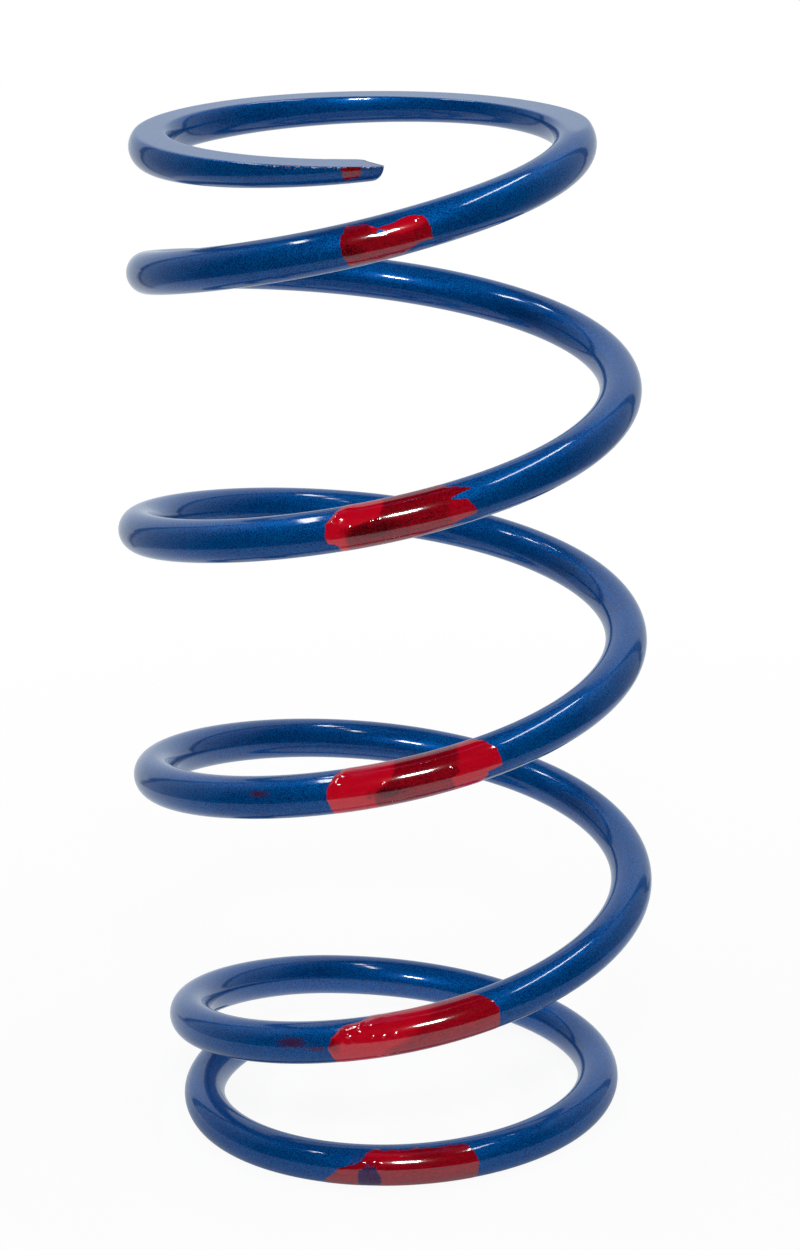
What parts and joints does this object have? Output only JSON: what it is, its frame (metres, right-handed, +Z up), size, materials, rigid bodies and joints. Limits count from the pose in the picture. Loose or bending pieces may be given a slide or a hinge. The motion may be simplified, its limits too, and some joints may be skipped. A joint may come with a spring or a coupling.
{
  "type": "driven clutch spring",
  "caption": "Painted steel compression spring with wide middle coils, narrower end rings and ground flat ends, which pushes a driven clutch's sheaves together.",
  "frame": {"origin": "on the axis of the coils, in the plane of the ground bottom end", "axes": "+Z up the axis towards the ground top end, -Y towards the top tip's side, +X to the right of it"},
  "size_m": [0.0696, 0.0696, 0.1357],
  "materials": {
    "blue_paint": "gloss dark blue paint on steel wire",
    "red_paint": "brushed gloss red paint marks over the blue"
  },
  "bodies": {
    "root": {"spring": "blue_paint"}
  },
  "joints": []
}
